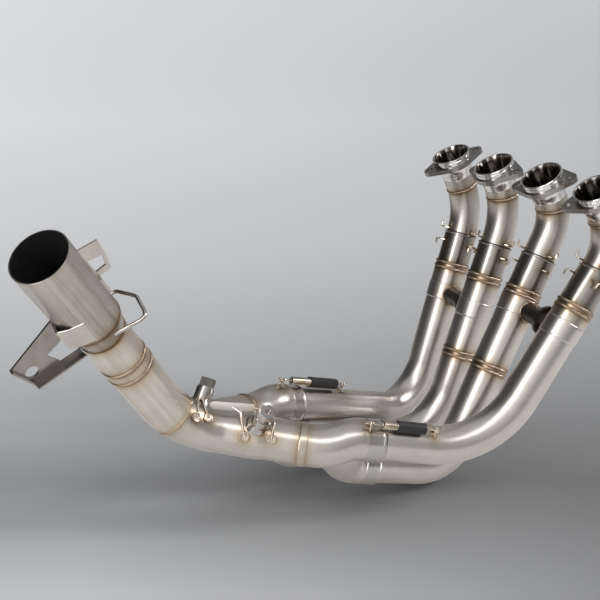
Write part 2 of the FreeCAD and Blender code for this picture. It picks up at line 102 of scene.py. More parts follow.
# %% A socket that can be calculated with
class Value:
    """An output of a node that takes part in sums."""

    def __init__(self, net, out):
        self.net = net
        self.out = out

    def sum(self, operation, a, b):
        return self.net.node("Math", {"operation": operation}, {0: a, 1: b})

    def __add__(self, other):
        return self.sum("ADD", self, other)

    def __sub__(self, other):
        return self.sum("SUBTRACT", self, other)

    def __mul__(self, other):
        return self.sum("MULTIPLY", self, other)

    def __truediv__(self, other):
        return self.sum("DIVIDE", self, other)

    def __rsub__(self, other):
        return self.sum("SUBTRACT", other, self)

    def __rtruediv__(self, other):
        return self.sum("DIVIDE", other, self)

    __radd__ = __add__
    __rmul__ = __mul__


# %% A net that nodes are added to
class Net:
    """A tree of shader nodes, of a material or of the world."""

    def __init__(self, tree):
        self.tree = tree

    def node(self, kind, settings=None, inputs=None, output=0):
        made = self.tree.nodes.new("ShaderNode" + kind)
        for key, value in (settings or {}).items():
            if key == "stops":
                elements = made.color_ramp.elements
                while len(elements) < len(value):
                    elements.new(0.5)
                for stop, (place, colour) in zip(elements, value):
                    stop.position = place
                    stop.color = (*colour, 1.0)
            else:
                setattr(made, key, value)
        for key, value in (inputs or {}).items():
            self.feed(made.inputs[key], value)
        return Value(self, made.outputs[output])

    def feed(self, socket, value):
        if isinstance(value, Value):
            self.tree.links.new(value.out, socket)
        else:
            socket.default_value = value


class Finish(Net):
    """One material, its main shader and the nodes that feed it."""

    def __init__(self, name, **settings):
        self.material = bpy.data.materials.new(name)
        self.material.use_nodes = True
        super().__init__(self.material.node_tree)
        self.shader = self.tree.nodes["Principled BSDF"]
        self.surface(**settings)

    def surface(self, **inputs):
        """Values or links for the shader's sockets, by their names."""
        for key, value in inputs.items():
            self.feed(self.shader.inputs[key.replace("_", " ")], value)


# %% [markdown]
# ## Bare metal
#
# The pipes are thin welded tube with a satin skin. Close up such a skin has fine lines round the
# tube, soft clouds where the abrasive pressed harder, and a straw to brown tint where welding
# heated it. The lines need a direction, so each tube's mesh carries "grain": where every point
# would be if the tube were still straight. "weld" is the distance in metres to the nearest weld,
# so one colour ramp over it gives the thin brown line and the wide pale halo round every bead.
# The tail is blotched where the pipes are lined, so a finish also has shares of its tone: from
# clouds, from fine lines, and from long streaks.

# %% Helpers for the finishes
def noise(net, vector, scale, detail=4.0, roughness=0.6):
    inputs = {"Vector": vector, "Scale": scale, "Detail": detail, "Roughness": roughness}
    return net.node("TexNoise", inputs=inputs)


def stretched(net, vector, amounts):
    settings = {"operation": "MULTIPLY"}
    return net.node("VectorMath", settings, {0: vector, 1: amounts})


def blend_colours(net, factor, first, second, way="MIX"):
    settings = {"data_type": "RGBA", "blend_type": way}
    return net.node("Mix", settings, {0: factor, 6: first, 7: second}, output=2)


def ramp(net, stops, factor):
    return net.node("ValToRGB", {"stops": stops}, {0: factor})


def grain_of(net):
    """Where a point would be if its tube were straight."""
    return net.node("Attribute", {"attribute_name": "grain"}, output=1)


# %% Satin metal with heat tint
tint_reach = 0.025
tint_stops = [
    (0.0, (0.27, 0.18, 0.11)), (0.075, (0.36, 0.25, 0.16)), (0.12, (0.66, 0.54, 0.42)),
    (0.2, (0.83, 0.75, 0.65)), (0.42, (0.95, 0.91, 0.86)), (0.8, (1.0, 1.0, 1.0)),
]


def heat_colours(finish, clouds):
    """The tint that multiplies a metal's colour near its welds, uneven by its clouds."""
    away = finish.node("Attribute", {"attribute_name": "weld"}, output=2)
    return ramp(finish, tint_stops, away * (1 / tint_reach) + (clouds - 0.5) * 0.12)


cloud_scale = 26.0
drawn_scale = (55.0, 55.0, 9.0)
# The shares of clouds, fine lines and long streaks in a metal's tone.
lined = (0.45, 0.15, 0.4)
blotched = (0.3, 0.6, 0.1)


def satin(name, colour, dark, rough, lines, tinted=True, shares=lined):
    """Metal with fine lines, soft clouds and, near the welds, a heat tint."""
    finish = Finish(name, Metallic=1.0)
    grain = grain_of(finish) if tinted else finish.node("TexCoord", output=3)
    clouds = noise(finish, grain, cloud_scale, 5.0)
    streaks = noise(finish, stretched(finish, grain, lines), 1.0, 3.0, 0.7)
    drawn = noise(finish, stretched(finish, grain, drawn_scale), 1.0, 5.0, 0.7)
    tone = clouds * shares[0] + streaks * shares[1] + drawn * shares[2]
    skin = ramp(finish, [(0.38, dark), (0.6, colour)], tone)
    roughness = rough + (streaks - 0.5) * 0.04 + (drawn - 0.5) * 0.05
    if tinted:
        skin = blend_colours(finish, 1.0, skin, heat_colours(finish, clouds), "MULTIPLY")
    bump = finish.node("Bump", inputs={"Height": streaks, "Distance": 0.00001, "Strength": 0.05})
    finish.surface(Base_Color=skin, Roughness=roughness, Normal=bump)
    return finish.material


# %% The satin finishes
# How fine the lines are, per metre, in x, y and z. In the grain, z runs along the tube.
rubbed = (40.0, 40.0, 1500.0)
turned = (20.0, 20.0, 2600.0)
streaked = (150.0, 150.0, 5.0)
rolled = (500.0, 60.0, 60.0)

tube_metal = satin("tube_metal", (0.65, 0.617, 0.588), (0.56, 0.525, 0.495), 0.31, rubbed)
machined_metal = satin("machined_metal", (0.56, 0.54, 0.52), (0.48, 0.457, 0.435), 0.235, turned)
sleeve_metal = satin("sleeve_metal", (0.43, 0.412, 0.395), (0.34, 0.322, 0.305), 0.23, turned)
end_tones = ((0.57, 0.533, 0.495), (0.38, 0.345, 0.31))
matt_metal = satin("matt_metal", *end_tones, 0.335, streaked, shares=blotched)
elbow_tones = ((0.75, 0.705, 0.655), (0.57, 0.525, 0.475))
blasted_metal = satin("blasted_metal", *elbow_tones, 0.335, streaked, shares=blotched)
sheet_metal = satin("sheet_metal", (0.66, 0.625, 0.585), (0.55, 0.515, 0.48), 0.32, rolled, False)
# A darker copy of sheet_metal: painted shade, used on the hanger's arm.
shade_painted_sheet = satin("shade_painted_sheet", (0.40, 0.37, 0.345), (0.30, 0.275, 0.25), 0.235, rolled, False)
flange_tones = ((0.40, 0.385, 0.37), (0.30, 0.287, 0.275))
flange_metal = satin("flange_metal", *flange_tones, 0.235, (300.0, 300.0, 300.0), False)
clamp_tones = ((0.17, 0.155, 0.14), (0.08, 0.07, 0.062))
dark_metal = satin("dark_metal", *clamp_tones, 0.36, (300.0, 300.0, 900.0), False)
weld_tones = ((0.50, 0.405, 0.32), (0.25, 0.185, 0.13))
weld_metal = satin("weld_metal", *weld_tones, 0.235, (900.0, 900.0, 900.0), False)

# %% [markdown]
# ## Polished, wire, soot and rubber
#
# The port collars are turned and then polished, so they mirror the room. Their cups have brown
# stains, and near-black and pale streaks along the axis are painted into their colour: painted
# reflection of dark and bright walls. Wire and plugs are bright too, with brown stains. The
# inside of every pipe is black with soot. Polish has almost no lines, so two plain noises are
# enough for it, and soot and rubber are no metal at all, so they get a rough, dusty skin.

# %% Polished metal, soot and rubber
def polished(name, colour, rough, stain=None):
    """Bright metal with faint clouds, or with stains of another colour."""
    finish = Finish(name, Metallic=1.0)
    place = finish.node("TexCoord", output=3)
    clouds = noise(finish, place, 90.0, 4.0)
    scratches = noise(finish, place, 900.0, 3.0, 0.8)
    low = stain or tuple(c * 0.84 for c in colour)
    skin = ramp(finish, [(0.3, low), (0.6, colour)], clouds)
    finish.surface(Base_Color=skin, Roughness=rough + clouds * 0.06 + scratches * 0.04)
    return finish.material


def dull(name, colour, light, rough, dust_scale):
    """A dark skin with lighter dust on it."""
    finish = Finish(name, Specular_IOR_Level=0.4)
    place = finish.node("TexCoord", output=3)
    dust = noise(finish, place, dust_scale, 5.0, 0.7)
    skin = ramp(finish, [(0.35, colour), (0.85, light)], dust)
    bump = finish.node("Bump", inputs={"Height": dust, "Distance": 0.00003, "Strength": 0.5})
    finish.surface(Base_Color=skin, Roughness=rough + dust * 0.2, Normal=bump)
    return finish.material


def cup_with_painted_reflection(name):
    """The polished cup inside: brown stains, with painted reflection as dark and light streaks along its
    axis.
    """
    finish = Finish(name, Metallic=1.0)
    streaks = noise(finish, stretched(finish, grain_of(finish), (210.0, 210.0, 6.0)), 1.0, 2.0, 0.5)
    # Painted reflection: the near-black and the pale stops stand for dark and bright walls mirrored in
    # the cup; the brown middle stop is the stain.
    stops = [(0.4, (0.07, 0.06, 0.052)), (0.5, (0.24, 0.215, 0.195)), (0.57, (0.80, 0.77, 0.74))]
    finish.surface(Base_Color=ramp(finish, stops, streaks), Roughness=0.12 + streaks * 0.1)
    return finish.material


# %% The bright and the black finishes
cup_stain_and_painted_reflection = cup_with_painted_reflection("cup_stain_and_painted_reflection")
collar_metal = polished("collar_metal", (0.80, 0.79, 0.78), 0.05)
wire_metal = polished("wire_metal", (0.74, 0.68, 0.60), 0.14, (0.42, 0.31, 0.2))
plug_metal = polished("plug_metal", (0.64, 0.61, 0.58), 0.10, (0.42, 0.39, 0.36))
# The soot inside every pipe. The same black is also painted where a pipe goes into a loose joint, as
# painted shade of the gap.
soot_and_gap_shade = dull("soot_and_gap_shade", (0.004, 0.004, 0.004), (0.02, 0.018, 0.016), 0.62, 200.0)
sleeve_rubber = dull("sleeve_rubber", (0.012, 0.012, 0.013), (0.035, 0.035, 0.036), 0.38, 420.0)
print(len(bpy.data.materials), "materials")

# %% [markdown]
# ## Centrelines
#
# A bender makes a pipe from straight runs and arcs. A centreline is kept as its corners and one
# radius per corner, in millimetres as in a workshop drawing, and gives the place, the heading
# and one side direction at any distance along it.

# %% A bent centreline
MM = 0.001


class Line:
    """Straight runs joined by tangent arcs."""

    def __init__(self, corners, radii):
        points = [Vector(corner) for corner in corners]
        self.pieces = []
        start = points[0]
        first_way = (points[1] - points[0]).normalized()
        side = first_way.orthogonal().normalized()
        for i, radius in enumerate(radii):
            before = (points[i + 1] - points[i]).normalized()
            after = (points[i + 2] - points[i + 1]).normalized()
            turn = before.angle(after)
            reach = radius * math.tan(turn / 2)
            entry = points[i + 1] - before * reach
            normal = before.cross(after).normalized()
            centre = entry + normal.cross(before) * radius
            self.pieces.append(((entry - start).length, start, before, side, None, None, 0.0))
            self.pieces.append((radius * turn, entry, before, side, centre, normal, radius))
            side = Matrix.Rotation(turn, 3, normal) @ side
            start = points[i + 1] + after * reach
        last_way = (points[-1] - start).normalized()
        self.pieces.append(((points[-1] - start).length, start, last_way, side, None, None, 0.0))
        self.length = sum(piece[0] for piece in self.pieces)

    def at(self, station):
        left = station
        for piece in self.pieces:
            if left <= piece[0] or piece is self.pieces[-1]:
                break
            left -= piece[0]
        length, start, way, side, centre, normal, radius = piece
        if centre is None:
            return start + way * left, way, side
        turn = Matrix.Rotation(left / radius, 3, normal)
        return centre + turn @ (start - centre), turn @ way, turn @ side


# %% The four pipes
port_pitch = 88.0
port_lean = [25.0, 26.6, 31.6, 30.8]
head_corner = [83.9, 64.8, 61.1, 78.0]
lower_corner = [(7.0, -56.0, -356.0), (86.0, -74.0, -356.0)]
lower_corner += [(178.0, -124.0, -353.0), (244.0, -114.0, -303.5)]
run_end = [(71.2, -280.2, -276.6), (87.0, -262.0, -330.0)]
run_end += [(169.0, -257.0, -318.6), (196.0, -273.5, -272.0)]
bend_radii = [(92.0, 69.0), (100.0, 78.0), (55.0, 55.0), (60.0, 109.0)]

pipe_lines = []
for i in range(4):
    lean = math.radians(port_lean[i])
    head = (port_pitch * i, head_corner[i] * math.sin(lean), -head_corner[i] * math.cos(lean))
    pipe_lines.append(Line([(port_pitch * i, 0, 0), head, lower_corner[i], run_end[i]], bend_radii[i]))
print("pipe lengths", [round(line.length) for line in pipe_lines], "mm")

# %% [markdown]
# ## One way to make every tube
#
# Most of the header is a round section carried along a centreline, so one function does it: an
# outline of (distance along, radius) pairs is turned round the line. A closed outline that goes
# down the outside and back up the inside gives a tube with a real wall and a real open end. A weld
# bead is the same metal melted and set again by the welder's rhythm, so it is swept too, with a
# ripple in its radius. Every bead is remembered, because the metal near it is stained.

# %% What every piece and every weld needs
weld_rings = []


def stain(centre, way, radius, least=0.0):
    """Remember a ring where heat stained the metal. A higher least, in mm, keeps it paler."""
    weld_rings.append((np.array(centre), np.array(way), radius, least))


def settle(made, slot, *stands_for):
    """The piece rides on the part's one body and stands for its CAD nodes."""
    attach(made, "root")
    if stands_for:
        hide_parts(*stands_for)
    return made


# %% A form that grows by sweeps
# The soot finish is the soot inside the pipes, and also painted shade in the gaps of loose joints.
SKIN, WELD, SOOT_AND_GAP_SHADE, TURNED = range(4)
ripple_pitch = 2.1
ripple_depth = 0.2
bead_rows = 9


class Form:
    """Points and faces of one piece while it is made from several swept parts."""

    def __init__(self):
        self.points, self.grain = [], []
        self.faces, self.chosen = [], []

    def join(self, base, rows, sides, finishes, closed):
        """Faces between neighbouring rings of points."""
        for row in range(rows if closed else rows - 1):
            low = base + row * sides
            high = base + ((row + 1) % rows) * sides
            for k in range(sides):
                j = (k + 1) % sides
                self.faces.append((low + k, low + j, high + j, high + k))
                self.chosen.append(finishes[row])

    def sweep(self, line, outline, sides, finishes, ripple=0, closed=True):
        """Carry an outline of (station, radius) round a line, with a finish for each row."""
        base = len(self.points)
        rows = len(outline)
        angles = np.linspace(0, 2 * math.pi, sides, endpoint=False)
        cosines = np.cos(angles)[:, None]
        sines = np.sin(angles)[:, None]
        for row, (station, radius) in enumerate(outline):
            point, way, side = line.at(station)
            other = np.array(way.cross(side))
            reach = radius
            if ripple:
                bow = abs(row - rows / 2) / rows
                reach = radius + ripple_depth * np.cos(angles * ripple + bow * 5.0)[:, None]
            ring = np.array(point) + (cosines * np.array(side) + sines * other) * reach
            self.points.extend(ring)
            flat = np.hstack([cosines * radius, sines * radius, np.full((sides, 1), station)])
            self.grain.extend(flat)
        self.join(base, rows, sides, finishes, closed)

    def bead(self, line, station, tube_r, bead_r=1.1, finish=WELD, least=0.0):
        """A rippled weld bead, remembered so that the metal near it is tinted."""
        point, way, _ = line.at(station)
        stain(point, way, tube_r, least)
        ripples = int(2 * math.pi * tube_r / ripple_pitch)
        outline = []
        for k in range(bead_rows):
            turn = math.pi * k / (bead_rows - 1)
            along = station - math.cos(turn) * bead_r * 1.4
            outline.append((along, tube_r - 0.3 + math.sin(turn) * bead_r))
        self.sweep(line, outline, ripples * 5, [finish] * bead_rows, ripples, closed=False)

    def piece(self, name, materials, slot, *stands_for, sharp=32.0):
        """The mesh object, in metres, smooth except at its sharp edges."""
        mesh = bpy.data.meshes.new(name)
        mesh.from_pydata([tuple(p * MM) for p in self.points], [], self.faces)
        for material in materials:
            mesh.materials.append(material)
        mesh.polygons.foreach_set("material_index", self.chosen)
        mark = mesh.attributes.new("grain", "FLOAT_VECTOR", "POINT")
        mark.data.foreach_set("vector", (np.array(self.grain) * MM).astype(np.float32).ravel())
        mesh.validate()
        mesh.update()
        mesh.shade_smooth()
        mesh.set_sharp_from_angle(angle=math.radians(sharp))
        settle(add_object(name, mesh), slot, *stands_for)

    def stand_in(self, node, ending, materials, slot, **settings):
        """The piece that takes a node's place. Its name is the node's with an ending."""
        self.piece(node + "_" + ending, materials, slot, node, **settings)


# %% Outlines for tubes
tube_wall = 1.2
edge_break = 0.25
tube_finishes = [tube_metal, weld_metal, soot_and_gap_shade, machined_metal]


def run(first, last, radius, step=2.0):
    """Outline points along a plain stretch of tube, close enough together to bend well."""
    count = max(1, math.ceil(abs(last - first) / step))
    return [(first + (last - first) * k / count, radius) for k in range(count + 1)]


def ends(first, last, outer):
    """The outside of a tube with its edges broken."""
    middle = run(first + edge_break, last - edge_break, outer)
    return [(first, outer - edge_break)] + middle + [(last, outer - edge_break)]


def with_rows(outside, *stations):
    """An outside with one more row at each of these stations."""
    for station in stations:
        after = next(k for k, row in enumerate(outside) if row[0] > station + 0.01)
        outside = outside[:after] + [(station, outside[after][1])] + outside[after:]
    return outside


def tube(form, line, outside, bore_r, sides=64, marked=None):
    """A tube with soot inside, and on its outside one marked stretch: first, last, finish."""
    inside = run(outside[-1][0], outside[0][0], bore_r, 6.0)
    finishes = [SKIN] * len(outside) + [SOOT_AND_GAP_SHADE] * len(inside)
    if marked:
        first, last, finish = marked
        for row, (station, _) in enumerate(outside):
            if first <= station < last:
                finishes[row] = finish
    form.sweep(line, outside + inside, sides, finishes)


# %% [markdown]
# ## Port collars
#
# Each pipe ends in a collar turned from bar: a deep polished cup that guides the gas in, a wide
# rim whose underside the loose flange pulls on, and a neck that narrows to the pipe. A turned part
# is an outline spun about an axis, so the same sweep makes it.

# %% Port collars
collar_outline = [
    (0.3, 23.3), (0.0, 23.8), (0.0, 25.1), (0.4, 25.5), (3.0, 25.5), (3.4, 25.2), (3.8, 25.5),
    (8.6, 25.5), (9.0, 25.2), (9.0, 23.6), (16.0, 23.6), (16.4, 23.3), (19.0, 22.0), (24.0, 21.3),
    (30.0, 20.5), (31.7, 20.1), (32.0, 19.8), (32.0, 18.4), (26.4, 18.4), (25.4, 18.5),
    (20.0, 19.35), (13.0, 20.6), (7.0, 21.75), (1.0, 22.9),
]
cup_row = collar_outline.index((32.0, 18.4))
collar_finishes = [0] * cup_row + [1] * (len(collar_outline) - cup_row)
for i, line in enumerate(pipe_lines):
    collar = Form()
    collar.sweep(line, collar_outline, 96, collar_finishes)
    node = "port_collar_%d" % (i + 1)
    collar.stand_in(node, "turned", [collar_metal, cup_stain_and_painted_reflection], "polished", sharp=22.0)
print("4 collars with", len(collar_outline), "rings each")

# %% [markdown]
# ## Stub pipes, slip sleeves and primary pipes
#
# Below the collar a short bent pipe slides into a thin machined sleeve on the primary pipe. The
# joint is loose so that the pipes can be lined up with the engine. The stub has one bead at its
# neck, the primary has two below its sleeve, and where a pipe goes into a loose joint a thin band
# of soot black is painted on it: painted shade of the gap. All three are swept along the same
# centreline, so they fit as they are.

# %% Places along the pipes
stub_r = 20.0
primary_r = 22.5
sleeve_out_r = 21.45
sleeve_bore_r = 20.15
saddle_r = primary_r + 0.8
collar_length = 32.0
upper_overlap = 26.0
lower_overlap = 24.0
neck_weld_at = [50.0, 46.0, 47.0, 42.0]
slip_at = [118.0, 112.0, 112.0, 110.0]
sleeve_end_at = [160.0, 153.0, 155.0, 156.0]
balance_at = [201.0, 200.0, 176.0, 189.0]
mend_weld_at = {1: 258.0, 2: 256.0}
lower_slip_back = [0.0, 0.0, 31.0, 36.0]
lower_slip_at = [line.length - back for line, back in zip(pipe_lines, lower_slip_back)]
lip_profile = [(0.0, 21.0), (0.3, 22.2), (0.6, 22.35), (1.8, 22.35), (2.4, 21.7)]


def gap_shade_at(station):
    """The stretch of painted shade, in soot black, where a pipe goes into a loose joint."""
    return station - 1.3, station + 0.5


# %% Stub pipe
def make_stub(i, line):
    """The short bent pipe from a collar into its sleeve."""
    gap_shade = gap_shade_at(slip_at[i])
    outside = ends(collar_length, slip_at[i] + upper_overlap, stub_r)
    stub = Form()
    # The band at the joint is painted shade of the gap, in the soot finish.
    tube(stub, line, with_rows(outside, *gap_shade), stub_r - tube_wall, marked=(*gap_shade, SOOT_AND_GAP_SHADE))
    stub.bead(line, neck_weld_at[i], stub_r)
    stub.stand_in("stub_tube_%d" % (i + 1), "bent", tube_finishes, "tube")


# %% Slip sleeve
def make_sleeve(i, line):
    """The thin machined sleeve, with a lip round its mouth."""
    slip = slip_at[i]
    outside = [(slip + along, radius) for along, radius in lip_profile]
    outside += run(slip + 2.7, sleeve_end_at[i], sleeve_out_r)
    sleeve = Form()
    tube(sleeve, line, outside, sleeve_bore_r)
    finishes = [sleeve_metal, weld_metal, soot_and_gap_shade]
    sleeve.stand_in("slip_sleeve_%d" % (i + 1), "turned", finishes, "machined")


# %% Primary pipe
def make_primary(i, line):
    """The long pipe: its shoulder under the sleeve, the balance saddle, and the end in a collector."""
    start = sleeve_end_at[i]
    tee = balance_at[i]
    gap_shade = gap_shade_at(lower_slip_at[i])
    outside = [(start, 20.8), (start, 21.9)] + run(start + 0.4, tee - 11.0, primary_r)
    outside += [(tee - 10.6, saddle_r - 0.2)] + run(tee - 10.2, tee + 10.2, saddle_r)
    outside += [(tee + 10.6, saddle_r - 0.2)]
    outside += run(tee + 11.0, lower_slip_at[i] + lower_overlap, primary_r)
    pipe = Form()
    # The band at the lower joint is painted shade of the gap, in the soot finish.
    tube(pipe, line, with_rows(outside, *gap_shade), primary_r - tube_wall, 72, (*gap_shade, SOOT_AND_GAP_SHADE))
    beads = [start + 1.1, start + 8.1]
    if i in mend_weld_at:
        beads += [mend_weld_at[i], mend_weld_at[i] + 7.0]
    for station in beads:
        pipe.bead(line, station, primary_r)
    pipe.stand_in("primary_pipe_%d" % (i + 1), "bent", tube_finishes, "tube")


for i, line in enumerate(pipe_lines):
    make_stub(i, line)
    make_sleeve(i, line)
    make_primary(i, line)
print(len(weld_rings), "weld beads so far")

# %% [markdown]
# ## Where the collectors lead
#
# One branch of each pair collector leads on into its outlet, and the other joins it from the side.
# The tail then follows one more centreline: through the main collector, round the elbow and up
# to the wide end pipe.

# %% Tail line and branches
tail_corners = [(183.4, -315.7, -277.0), (129.0, -400.0, -262.0), (112.4, -447.7, -248.5)]
tail_corners += [(149.8, -536.5, -117.4), (201.1, -608.0, -14.5)]
tail = Line(tail_corners, [50.0, 92.0, 60.0])
print("tail length", round(tail.length), "mm")

main_start = 6.0
merge_end = 62.0
far_merge_at = 136.0
elbow_weld_at = 166.0
mid_band_at = 257.0
reducer_at = 318.0
reducer_length = 22.0
secondary_r = 24.0
mid_r = 25.5
end_r = 30.25
sleeve_r = primary_r + 0.15
branch_r = sleeve_r + tube_wall

lead_straight = lower_overlap + 9.0
side_straight = lower_overlap + 12.0
outlet_straight = 14.0
outlet_bend_r = 60.0
side_bend_reach = 11.0
side_bend_most = 400.0

near_outlet, near_way, _ = tail.at(0.0)
far_outlet = Vector((89.0, -350.0, -267.5))
far_end = tail.at(far_merge_at)[0]
far_way = (far_end - far_outlet).normalized()


def lead_branch(i, outlet, outlet_way, knee_r):
    """Along a primary and then along the collector's outlet."""
    mouth, heading, _ = pipe_lines[i].at(lower_slip_at[i])
    knee = mouth + heading * lead_straight
    bend = outlet - outlet_way * outlet_straight
    return Line([mouth, knee, bend, outlet + outlet_way * main_start], [knee_r, outlet_bend_r])


def side_branch(i, target):
    """Along a primary and then straight into the lead branch, in as wide a bend as fits."""
    mouth, heading, _ = pipe_lines[i].at(lower_slip_at[i])
    knee = mouth + heading * side_straight
    turn = heading.angle(target - knee)
    radius = min(side_bend_reach / math.tan(turn / 2), side_bend_most)
    return Line([mouth, knee, target], [radius])


# %% [markdown]
# ## Pair collectors
#
# Each pair of primaries slides into two tubes that were cut and welded into one. Every mouth has
# a rolled lip and a band that was turned bright, so that the joint seals. A union would leave
# uneven faces along the join, so the branches are two swept tubes in one mesh, and the side
# branch simply ends inside the lead branch.

# %% Pair collectors
band_end = 21.0


def lipped(last, radius):
    """A branch's outside: a raised lip at its mouth, the band's edge, and a step to its radius."""
    lip = [(0.0, branch_r + 0.3), (0.3, branch_r + 1.1), (0.8, branch_r + 1.3), (2.2, branch_r + 1.3)]
    lip += [(2.9, branch_r + 0.2)] + run(3.3, band_end - 2.4, branch_r)
    lip += [(band_end - 2.2, branch_r + 0.6), (band_end - 0.6, branch_r + 0.6), (band_end, branch_r)]
    step = lower_overlap + 2.0
    return lip + run(band_end + 0.4, step, branch_r) + run(step + 1.0, last, radius)


def pair_collector(name, lead, side, outlet, outlet_way, knee_r, side_end_back):
    """One piece of two branches, with the pipes by number and the side branch's end inside."""
    main = lead_branch(lead, outlet, outlet_way, knee_r)
    joined = side_branch(side, main.at(main.length - main_start - side_end_back)[0])
    band = (0.0, band_end, TURNED)
    form = Form()
    tube(form, main, lipped(main.length, secondary_r), secondary_r - tube_wall, 72, band)
    tube(form, joined, lipped(joined.length, branch_r), sleeve_r, 72, band)
    form.stand_in(name, "welded", tube_finishes, "tube")


pair_collector("near_collector", 3, 2, near_outlet, near_way, 55.0, 20.0)
pair_collector("far_collector", 0, 1, far_outlet, far_way, 36.0, 12.0)
print("pair collectors end", round(tail.length), "mm before the mouth")

# %% [markdown]
# ## Main collector
#
# Here the far pair's gas joins the near pair's. The tube starts with a slip-on band, widens after
# the merge and is welded to the elbow. The far pair's short branch is one more tube in the same
# mesh, and its end is hidden inside the first.

# %% Main collector
main = Form()
band_r = secondary_r + 1.0
outline = [(main_start, band_r - 0.5), (main_start + 0.5, band_r)]
outline += run(main_start + 1.0, main_start + 9.0, band_r)
outline += [(main_start + 9.6, band_r - 0.3), (main_start + 10.0, secondary_r)]
outline += run(main_start + 11.0, merge_end - 12.0, secondary_r)
outline += [(merge_end - 9.0, 24.3), (merge_end - 6.0, 24.75), (merge_end - 3.0, 25.2)]
outline += run(merge_end, elbow_weld_at, mid_r)
tube(main, tail, outline, secondary_r - tube_wall, 72)
for station in (main_start + 10.4, main_start - 0.3):
    place, heading, _ = tail.at(station)
    stain(place, heading, secondary_r, 3.2)
far_line = Line([far_outlet, far_end], [])
tube(main, far_line, ends(main_start, far_line.length, secondary_r), secondary_r - tube_wall)
main.bead(far_line, main_start + 1.1, secondary_r)
main.stand_in("main_collector", "welded", tube_finishes, "tube")
print("far branch of", round(far_line.length), "mm")

# %% [markdown]
# ## Elbow, mid pipe, reducer and end pipe
#
# The tail was blasted, so it is duller than the pipes, and some of its beads were dressed until
# they only just show: those take the pipe's own finish and a paler stain. A reducer widens the
# tail to the end pipe. Two cones would leave creases, so its outline is an S-curve.

# %% Elbow and mid pipe
def tail_pipe(node, ending, first, last, outer, skin, beads, sides=72):
    """A plain stretch of the tail with its beads."""
    form = Form()
    tube(form, tail, ends(first, last, outer), outer - tube_wall, sides)
    for bead in beads:
        form.bead(tail, *bead)
    form.stand_in(node, ending, [skin, weld_metal, soot_and_gap_shade], "tube")


dressed = [(elbow_weld_at + 0.2, mid_r, 0.9, SKIN, 2.6)]
double = [(mid_band_at + 1.1, mid_r), (mid_band_at + 16.0, mid_r)]
tail_pipe("elbow_pipe", "bent", elbow_weld_at, mid_band_at, mid_r, blasted_metal, dressed)
tail_pipe("mid_pipe", "welded", mid_band_at, reducer_at, mid_r, blasted_metal, double)

# %% Reducer and end pipe
swell = []
for k in range(13):
    share = k / 12
    smooth = share * share * (3 - 2 * share)
    swell.append((reducer_at + reducer_length * share, mid_r + (end_r - mid_r) * smooth))
swell_back = [(station, radius - tube_wall) for station, radius in reversed(swell)]
reducer = Form()
reducer.sweep(tail, swell + swell_back, 72, [SKIN] * len(swell) + [SOOT_AND_GAP_SHADE] * len(swell))
reducer.bead(tail, reducer_at, mid_r, 0.7, SKIN, 0.8)
reducer_end = reducer_at + reducer_length
reducer.bead(tail, reducer_end, end_r, 0.6, SKIN, 1.2)
reducer.stand_in("reducer", "swelled", [matt_metal, weld_metal, soot_and_gap_shade], "tube")
tail_pipe("end_pipe", "rolled", reducer_end, tail.length, end_r, matt_metal, [], 96)
print(len(weld_rings), "welds down to the end pipe")

# %% [markdown]
# ## Springs
#
# A close-wound coil is one long wire: an eye bent round the hook, a short straight, a spiral out to
# the coil's radius, the turns, and the same again at the other end. The wire is a chain of points,
# and a ring of eight is carried along it without twisting.

# %% A wire through points
def wire(form, points, radius, sides=8):
    """A round wire along a chain of points, with flat ends."""
    base = len(form.points)
    turns = [2 * math.pi * j / sides for j in range(sides)]
    section = [(math.cos(turn) * radius, math.sin(turn) * radius) for turn in turns]
    side = (points[1] - points[0]).orthogonal().normalized()
    reached = 0.0
    for k, point in enumerate(points):
        ahead = points[min(k + 1, len(points) - 1)] - points[max(k - 1, 0)]
        side = (side - ahead * (side.dot(ahead) / ahead.length_squared)).normalized()
        other = ahead.normalized().cross(side)
        if k:
            reached += (point - points[k - 1]).length
        for wide, high in section:
            form.points.append(np.array(point + side * wide + other * high))
            form.grain.append((wide, high, reached))
    rows = len(points)
    form.join(base, rows, sides, [SKIN] * rows, False)
    form.faces.append(tuple(base + j for j in reversed(range(sides))))
    form.faces.append(tuple(base + (rows - 1) * sides + j for j in range(sides)))
    form.chosen += [SKIN, SKIN]


def side_of(heading, towards):
    """The direction square to a heading that is nearest to towards."""
    return (towards - heading * towards.dot(heading)).normalized()


def arc(centre, first, second, radius, start, finish, count):
    turns = [start + (finish - start) * k / count for k in range(count + 1)]
    return [centre + first * (math.cos(t) * radius) + second * (math.sin(t) * radius) for t in turns]


# %% The two springs
spring_places = [
    ("near", 3, 412.0, 490.0, (0.57, 0.0, 0.82), 58.0),
    ("far", 0, 513.0, 625.0, (0.12, 0.36, 0.92), 90.0),
]
hook_eye_height = 8.2
wire_r = 0.9
coil_r = 4.1
eye_r = 2.6
turn_pitch = 1.84
turn_steps = 20
opening_turns = 1.6
coil_ends = 3.0


